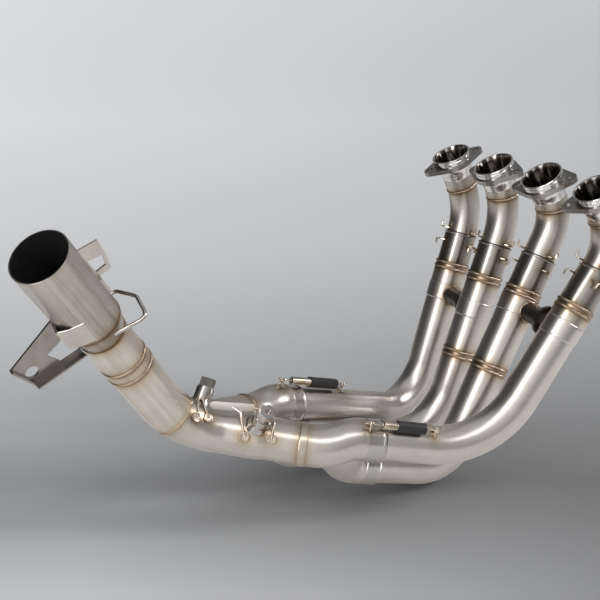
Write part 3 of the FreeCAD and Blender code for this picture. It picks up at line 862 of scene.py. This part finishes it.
def spring(name, i, first, last, towards, coil_length):
    """A coil between the hook at one station of a pipe and the hook on its collector."""
    low, low_heading, _ = pipe_lines[i].at(first)
    high, high_heading, _ = pipe_lines[i].at(last)
    low_side = side_of(low_heading, Vector(towards))
    high_side = side_of(high_heading, Vector(towards))
    start = low + low_side * (primary_r + hook_eye_height)
    finish = high + high_side * (branch_r + hook_eye_height)
    way = (finish - start).normalized()
    spare = ((finish - start).length - coil_length) / 2
    across = way.cross(low_side).normalized()
    lift = across.cross(way)
    turns = int((coil_length - coil_ends) / turn_pitch)
    points = arc(start, way, across, eye_r, math.radians(20), math.radians(345), 20)
    points += [start + way * (eye_r + 1.2), start + way * (spare - 1.0)]
    steps = turns * turn_steps
    for k in range(steps + 1):
        share = k / steps
        grow = min(1.0, share * turns / opening_turns, (1.0 - share) * turns / opening_turns)
        spin = 2 * math.pi * turns * share
        reach = coil_r * grow
        centre = start + way * (spare + coil_ends / 2 + (coil_length - coil_ends) * share)
        points.append(centre + across * (math.cos(spin) * reach) + lift * (math.sin(spin) * reach))
    high_across = way.cross(high_side).normalized()
    points += [finish - way * (spare - 1.0), finish - way * (eye_r + 1.2)]
    points += arc(finish, way * -1, high_across, eye_r, math.radians(15), math.radians(340), 20)
    form = Form()
    wire(form, points, wire_r)
    form.stand_in("spring_" + name, "wound", [wire_metal], "wire")
    print("spring", name, turns, "turns")


for place in spring_places:
    spring(*place)

# %% [markdown]
# ## Welds round a foot
#
# The balance tubes and the sensor bosses stand on a pipe's side. Their bead isn't a flat ring: it
# follows the curve of the pipe, like the edge of a saddle. So its path is worked out point by
# point and a thick wire is laid along it. Each such weld leaves its ring of tint too.

# %% Side welds
saddle_steps = 96
balance_weld_r = 12.3
boss_weld_r = 12.0


def side_weld(name, slot, centre, way, radius, bead_r, heading, pipe_r):
    """A bead where a round foot meets the curved side of a tube."""
    way = Vector(way).normalized()
    stain(centre, way, radius)
    across = way.cross(heading).normalized()
    along = across.cross(way)
    points = []
    for k in range(saddle_steps):
        turn = 2 * math.pi * k / saddle_steps
        sideways = math.sin(turn) * radius
        drop = pipe_r - math.sqrt(pipe_r * pipe_r - sideways * sideways)
        points.append(centre - way * drop + along * (math.cos(turn) * radius) + across * sideways)
    form = Form()
    wire(form, points + points[:1], bead_r, 10)
    form.piece(name, [weld_metal], slot)


for left in (0, 2):
    low, low_heading, _ = pipe_lines[left].at(balance_at[left])
    high, high_heading, _ = pipe_lines[left + 1].at(balance_at[left + 1])
    way = (high - low).normalized()
    both_ends = (("low", low, way, low_heading), ("high", high, way * -1, high_heading))
    for end_name, place, out, heading in both_ends:
        reach = saddle_r / side_of(heading, out).dot(out)
        name = "balance_weld_%d_%s" % (left + 1, end_name)
        side_weld(name, "balance", place + out * reach, out, balance_weld_r, 1.0, heading, saddle_r)
for name, station, way in (("rear", 137.0, (-0.27, 0.5, 0.82)), ("front", 71.0, (0.63, 0.12, 0.76))):
    place, heading, _ = tail.at(station)
    way = Vector(way).normalized()
    side_weld("boss_weld_" + name, "tube", place + way * mid_r, way, boss_weld_r, 1.3, heading, mid_r)
print("6 side welds of", saddle_steps, "steps")

# %% [markdown]
# ## Spring hooks
#
# A hook for an exhaust spring is one short wire bent like a hairpin: two feet stand apart on the
# tube, the legs lean together, and the closed end is folded over along the tube. Both feet are
# welded, so a pull on the tip can't turn it. A centreline with rounded corners gives its shape.

# %% Hairpin hooks
hook_wire_r = 1.15
hook_radii = [4.0, 2.0, 0.9, 0.9, 2.0, 4.0]
hook_steps = 90
foot_spread = 4.2
leg_spread = 0.95
waist_height = 5.0
crown_height = 10.0
fold_length = 6.5


def hairpin(form, line, station, towards, radius, fold):
    """One hook with its two feet at a station, folded over forwards (1) or backwards (-1)."""
    place, heading, _ = line.at(station)
    out = side_of(heading, Vector(towards))
    across = heading.cross(out)
    corners = []
    for hand in (-1, 1):
        foot = place + out * (radius - 0.3) + across * (hand * foot_spread)
        waist = place + out * (radius + waist_height) + across * (hand * leg_spread)
        crown = place + out * (radius + crown_height) + across * (hand * leg_spread)
        tip = crown + heading * (fold * fold_length) - out * 0.6
        corners.append([foot, waist, crown, tip])
        stain(foot + out * 0.3, out, 1.4, 1.5)
    path = Line(corners[0] + corners[1][::-1], hook_radii)
    points = [path.at(path.length * k / hook_steps)[0] for k in range(hook_steps + 1)]
    wire(form, points, hook_wire_r)


hook_sides = [((0.97, 0.2, 0.0), (-0.4, -0.87, 0.27)), ((0.99, 0.05, 0.0), (-0.7, -0.68, 0.2))]
hook_sides += [((0.99, -0.06, 0.04), (-0.7, -0.68, 0.2)), ((0.84, -0.48, 0.24), (-0.72, -0.56, 0.42))]
for i, line in enumerate(pipe_lines):
    hooks = Form()
    for towards in hook_sides[i]:
        hairpin(hooks, line, slip_at[i] - 4.0, towards, stub_r, -1)
        hairpin(hooks, line, slip_at[i] + 14.0, towards, sleeve_out_r, 1)
    hooks.stand_in("upper_hooks_%d" % (i + 1), "bent", [wire_metal], "wire")
for name, i, first, last, towards, _ in spring_places:
    for end_name, station, radius, fold in (("front", first, primary_r, -1), ("rear", last, branch_r, 1)):
        hooks = Form()
        hairpin(hooks, pipe_lines[i], station, towards, radius, fold)
        hooks.stand_in("spring_hook_%s_%s" % (name, end_name), "bent", [wire_metal], "wire")
print("20 hooks of", 2 * hook_wire_r, "mm wire")

# %% [markdown]
# ## Cable bracket
#
# Between the sensor bosses a flat strap stands on two wire legs, and behind it there is a pointed
# loop. They hold the sensors' cables away from the hot pipe. Every leg ends on a small round pad
# with a raised rim. The legs are centrelines with rounded corners, the pads are spun outlines,
# and the strap is a rounded section whose rows get narrower at one end.

# %% Strap, loop and pads
pad_outline = [
    (0.5, 5.6), (3.6, 5.6), (4.4, 5.35), (4.7, 4.8), (4.7, 4.6), (4.6, 4.2), (4.1, 3.8),
    (3.9, 3.4), (3.9, 3.2), (3.9, 0.01),
]
pad_depth = 3.0
pad_weld_r = 6.0


def pad(form, station, towards):
    """A low round pad on the main collector. What comes back is where its leg ends."""
    place, heading, _ = tail.at(station)
    way = side_of(heading, Vector(towards))
    middle = place + way * mid_r
    spindle = Line([middle - way * pad_depth, middle + way * pad_depth], [])
    form.sweep(spindle, pad_outline, 40, [SKIN] * len(pad_outline), closed=False)
    stain(middle, way, pad_weld_r, 2.3)
    return middle + way


def bent_wire(form, corners, radii, radius=1.5):
    """A wire along a centreline, with a point about every 0.8 mm."""
    path = Line(corners, radii)
    count = int(path.length / 0.8)
    wire(form, [path.at(path.length * k / count)[0] for k in range(count + 1)], radius, 12)


def plank(form, first, last, up, width, thickness):
    """A flat strap with rounded edges, and with its first end rounded off."""
    way = (last - first).normalized()
    across = way.cross(up).normalized()
    up = across.cross(way)
    half = thickness / 2
    sides = 16
    section = []
    for k in range(sides):
        turn = 2 * math.pi * k / sides
        corner = math.copysign(1.0, math.cos(turn)) * (width / 2 - half)
        section.append((corner + math.cos(turn) * half, math.sin(turn) * half))
    base = len(form.points)
    length = (last - first).length
    nose = 4.4
    rows = [0.02, 0.3, 1.2, 2.6, nose] + [nose + (length - 4.6) * k / 6 for k in range(1, 7)]
    for along in rows:
        edge = max(0.0, nose - along) / nose
        narrow = math.sqrt(1.0 - edge * edge)
        for wide, high in section:
            form.points.append(np.array(first + way * along + across * (wide * narrow) + up * high))
            form.grain.append((wide, high, along))
    form.join(base, len(rows), sides, [SKIN] * len(rows), False)
    for row, order in ((0, -1), (len(rows) - 1, 1)):
        form.faces.append(tuple(base + row * sides + j for j in range(sides))[::order])
        form.chosen.append(SKIN)


# %% The bracket and the loop
strap = Form()
rear_end = Vector((135.5, -417.7, -224.1))
front_end = Vector((146.2, -369.2, -234.0))
plank(strap, rear_end, front_end, Vector((0.78, -0.3, 0.62)), 10.0, 2.2)
left_pad = pad(strap, 75.6, (0.82, -0.47, 0.34))
right_pad = pad(strap, 46.0, (0.79, -0.43, 0.43))
bent_wire(strap, [rear_end.lerp(front_end, 0.5), Vector((149.3, -388.0, -233.5)), left_pad], [3.0])
round_boss = [front_end, Vector((158.0, -351.0, -238.0)), Vector((173.9, -358.5, -244.7)), right_pad]
bent_wire(strap, round_boss, [3.0, 3.0])
strap.stand_in("strap_bracket", "bent", [tube_metal], "tube")
loop = Form()
feet = [pad(loop, 150.4, (0.88, 0.24, 0.41)), pad(loop, 130.7, (0.77, 0.15, 0.63))]
bent_wire(loop, [feet[0], Vector((114.4, -421.5, -211.5)), feet[1]], [3.0])
loop.stand_in("wire_loop", "bent", [tube_metal], "wire")
print(len(weld_rings), "welds in all")

# %% [markdown]
# ## Sheet pieces with broken edges
#
# The flanges and the brackets are cut and folded from sheet. The CAD solids have perfectly sharp
# edges, which nothing real has, so each gets a copy with its edges rounded by a fraction of a
# millimetre. That thin rounding is what catches the light in a picture. The hexagonal plugs of
# the sensor bosses get the same.

# %% Copies with rounded edges
sharpest = math.radians(38)


def rounded(name, material, slot, width, *others):
    """A copy of a node with rounded edges, which stands for it."""
    node = nodes[name]
    made = add_object(name + "_edged", node.data.copy())
    made.matrix_world = node.matrix_world.copy()
    made.data.materials.clear()
    for one in (material, *others):
        made.data.materials.append(one)
    edge = made.modifiers.new("edge", "BEVEL")
    edge.width = width * MM
    edge.segments = 2
    edge.limit_method = "ANGLE"
    edge.angle_limit = sharpest
    return settle(made, slot, name)


for n in range(1, 5):
    rounded("port_flange_%d" % n, flange_metal, "tube", 0.7)
# The hanger's arm gets the darker copy of the sheet metal, which is painted shade.
hanger = rounded("hanger_bracket", shade_painted_sheet, "tube", 0.5, sheet_metal)
rounded("guard_bracket", sheet_metal, "tube", 0.5)
for name in ("sensor_plug_rear", "sensor_plug_front"):
    rounded(name, plug_metal, "wire", 0.5)
print("8 pieces with rounded edges")

# %% [markdown]
# ## The hanger's saddle
#
# Where the hanger meets the end pipe its sheet is bent round the pipe, and the front edge of that
# saddle is rolled over, which stiffens it and leaves a bright line. The rolled edge is one more
# bent wire along the saddle's corners. The arm has a darker copy of the sheet metal, which is
# painted shade, and the saddle's own faces keep the plain, lighter sheet metal.

# %% Saddle faces and rolled edge
mouth, end_way, _ = tail.at(tail.length)
sheet_way = side_of(end_way, Vector((0.924, 0.167, -0.345)))
out_way = end_way.cross(sheet_way)


def end_point(out, back, lift):
    """A point from its distance off the end pipe's axis, behind its mouth and above the sheet."""
    return mouth + out_way * out - end_way * back + sheet_way * lift


saddle_reach = 38.5
# The saddle's faces, near the end pipe, get the plain sheet metal; the rest keep the painted shade.
for face in hanger.data.polygons:
    offset = hanger.matrix_world @ face.center / MM - mouth
    if (offset - end_way * offset.dot(end_way)).length < saddle_reach:
        face.material_index = 1
rim_corners = [(-29.2, -0.6), (-32.4, 16.8), (-21.6, 24.2), (-7.8, 29.2)]
rim_back = 73.0
rim = Form()
bent_wire(rim, [end_point(out, rim_back, lift) for out, lift in rim_corners], [2.0, 4.0], 1.1)
rim.piece("hanger_rim_rolled", [plug_metal], "tube", "hanger_bracket")
print("rolled edge of", len(rim.faces), "faces")

# %% [markdown]
# ## Pieces that stay as the CAD made them
#
# Plain turned pieces are already right in the frame: the balance tubes and clamps, the sensor
# bosses, the guide ring and the springs' sleeves. Their meshes stay as they are, and only their
# material slots are filled.

# %% Carried-over nodes
by_word = [("balance", dark_metal, "balance"), ("sensor_boss", plug_metal, "tube")]
by_word += [("guide_ring", plug_metal, "wire"), ("spring_rubber", sleeve_rubber, "rubber")]
kept = sorted(name for name in nodes if not nodes[name].hide_render)
for name in kept:
    material, slot = next(finish for word, *finish in by_word if word in name)
    node = nodes[name]
    node.data.materials.clear()
    node.data.materials.append(material)
print(len(kept), "nodes stay as they are")

# %% [markdown]
# ## Heat near the welds
#
# Every bead was remembered when it was made. Now each point of each tube gets a value from its
# distance to the nearest bead, and the material turns that into a straw to brown tint.

# %% Heat on every swept piece
unheated = 40.0


def add_heat(made):
    """Give every point its distance to the nearest weld."""
    mesh = made.data
    where = np.zeros(len(mesh.vertices) * 3, np.float32)
    mesh.vertices.foreach_get("co", where)
    where = where.reshape(-1, 3) / MM
    nearest = np.full(len(where), unheated)
    for centre, way, radius, least in weld_rings:
        offset = where - centre
        along = offset @ way
        out = np.linalg.norm(offset - along[:, None] * way, axis=1)
        nearest = np.minimum(nearest, np.hypot(along, out - radius) + least)
    mark = mesh.attributes.new("weld", "FLOAT", "POINT")
    mark.data.foreach_set("value", (nearest * MM).astype(np.float32))


tinted = [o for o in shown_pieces() if o.type == "MESH" and "grain" in o.data.attributes]
for made in tinted:
    add_heat(made)
print(len(tinted), "pieces carry heat tint")

# %% [markdown]
# ## What the metal mirrors
#
# Bare metal shows the room more than itself. Real walls would be in the way of other views, so
# the room is painted on the far floor and on the world, where only mirrored rays see it. Its
# brightness is given at angles round the header: -180 and 180 are behind it, -90 is to its left,
# 0 is the camera's side. Each tube gets a dark band beside a bright one, because the room is
# brightest a little left of the camera and darkest further left. One list is for what stands
# low, and one for what stands high.

# %% The room's levels
ahead = Vector((-0.8753, 0.4838, 0.0))
rightwards = Vector((0.4838, 0.8753, 0.0))
low_levels = [
    (-180, 0.35), (-158, 0.08), (-105, 0.02), (-66, 0.03), (-48, 0.22), (-33, 0.95), (-22, 1.25),
    (-12, 0.95), (0, 0.38), (14, 0.25), (40, 0.16), (70, 0.17), (100, 0.3), (130, 0.5), (180, 0.4),
]
high_levels = [
    (-180, 0.3), (-150, 0.1), (-105, 0.03), (-72, 0.08), (-48, 0.4), (-30, 1.0), (-15, 1.1),
    (5, 0.68), (35, 0.42), (60, 0.28), (80, 0.13), (100, 0.4), (140, 0.36), (180, 0.3),
]


def room_ramp(net, sideways, backwards, levels):
    """The room's slightly warm grey at an angle round the header."""
    turn = net.node("Math", {"operation": "ARCTAN2"}, {0: sideways, 1: backwards})
    stops = [(angle / 360 + 0.5, (v, v * 0.985, v * 0.965)) for angle, v in levels]
    return ramp(net, stops, turn / (2 * math.pi) + 0.5)


def place_along(net, vector, direction):
    settings = {"operation": "DOT_PRODUCT"}
    return net.node("VectorMath", settings, {0: vector, 1: tuple(direction)}, output=1)


# %% [markdown]
# ## The floor
#
# The backdrop is one pale sheet, and the light on it is uneven: white at the top, darkest near its
# foot, and darker to the right. Extra lamps on it would also light the metal, so that light and
# shade is painted into the sheet's colour over the floor, row by row: painted light and shade.
# "fall" is how far down the picture a row lies: 0 is the horizon and 1 is about the lower edge.
# Mirrored rays see one warm grey round the header, and the room beyond.

# %% The floor's mesh
lowest = cad_box[0].z
half_size = 80.0
corners = [(x * half_size, y * half_size, 0.0) for x, y in ((-1, -1), (1, -1), (1, 1), (-1, 1))]
floor_mesh = bpy.data.meshes.new("floor")
floor_mesh.from_pydata(corners, [], [(0, 1, 2, 3)])
floor = add_object("floor", floor_mesh)
floor.location = (0.0, 0.0, lowest)
print("floor at", round(lowest, 4), "m")

# %% The floor's colour
eye_height = camera_at.z - lowest
steepest = 0.7
least_far = 0.8
paper = Finish("floor_paper", Roughness=0.8, Specular_IOR_Level=0.2)
spot = paper.node("TexCoord", output=3)
spot_ahead = place_along(paper, spot, ahead)
spot_right = place_along(paper, spot, rightwards)
far = paper.node("Math", {"operation": "MAXIMUM"}, {0: spot_ahead - camera_at.dot(ahead), 1: least_far})
off = (spot_right - camera_at.dot(rightwards)) / far
fall = eye_height / far / steepest
# Painted light and shade: the grey is lightest far off, darkest near the header's foot, and a little
# lighter again at the picture's lower edge.
greys = [(0.0, 0.97), (0.19, 0.85), (0.30, 0.65), (0.456, 0.45), (0.536, 0.37), (0.62, 0.31)]
greys += [(0.757, 0.205), (0.83, 0.25), (0.964, 0.355)]
painted_floor_light = ramp(paper, [(place, (v * 0.985, v * 0.995, v * 1.01)) for place, v in greys], fall)
# Painted shade: the floor gets darker to the right, more so low in the picture.
shade = paper.node("Clamp", inputs={0: 0.87 - off * (fall * 0.6 + 0.35), 1: 0.55, 2: 1.1})
seen = blend_colours(paper, 1.0, painted_floor_light, shade, "MULTIPLY")

# %% What mirrored rays see of the floor
near_floor = (0.54, 0.527, 0.512, 1.0)
middle = Vector((0.13, -0.25, 0.0))
beside = spot_right - middle.dot(rightwards)
behind = middle.dot(ahead) - spot_ahead
apart = paper.node("Math", {"operation": "SQRT"}, {0: beside * beside + behind * behind})
outside = paper.node("MapRange", inputs={0: apart, 1: 0.7, 2: 1.05})
standing = blend_colours(paper, outside, near_floor, room_ramp(paper, beside, behind, low_levels))
mirrored = paper.node("LightPath", output=3)
paper.surface(Base_Color=blend_colours(paper, mirrored, seen, standing))
floor_mesh.materials.append(paper.material)

# %% The world
ceiling = (0.24, 0.236, 0.232, 1.0)
open_air = (0.80, 0.81, 0.825, 1.0)
world = bpy.data.worlds.new("studio")
bpy.context.scene.world = world
world.use_nodes = True
room = Net(world.node_tree)
room_way = room.node("TexCoord", output=0)
room_right = place_along(room, room_way, rightwards)
room_back = place_along(room, room_way, ahead) * -1.0
walls = room_ramp(room, room_right, room_back, high_levels)
height = place_along(room, room_way, (0.0, 0.0, 1.0))
above = ramp(room, [(0.8, (0.0, 0.0, 0.0)), (0.96, (1.0, 1.0, 1.0))], height)
walls = blend_colours(room, above, walls, ceiling)
mirrored = room.node("LightPath", output=3)
light = blend_colours(room, mirrored, open_air, walls)
room.feed(world.node_tree.nodes["Background"].inputs["Color"], light)

# %% [markdown]
# ## Lamps
#
# Four soft boxes, as in a small studio. The one above is wide and weak and keeps the shadow soft.
# A long strip in front lays a bright line along the low pipes, and a box at each side gives the
# upright pipes their edges. Lamps of an area are used, because a point lamp makes hard dots.

# %% Lamps
aim = Vector((0.12, -0.25, -0.2))


def lamp(name, place, size, power):
    """A rectangular soft box that looks at the header."""
    data = bpy.data.lights.new(name, "AREA")
    data.shape = "RECTANGLE"
    data.size, data.size_y = size
    data.energy = power
    made = add_object(name, data)
    made.location = place
    made.rotation_euler = (aim - Vector(place)).to_track_quat("-Z", "Y").to_euler()


lamp("top_box", (0.1, -0.2, 2.0), (2.4, 1.9), 4.0)
lamp("front_strip", (1.25, -0.88, 1.45), (2.6, 0.4), 11.0)
lamp("left_box", (0.9, -1.9, 0.5), (0.5, 1.6), 12.0)
lamp("right_box", (1.2, 1.7, 1.0), (0.4, 0.7), 34.0)
print(len(bpy.data.lights), "lamps")
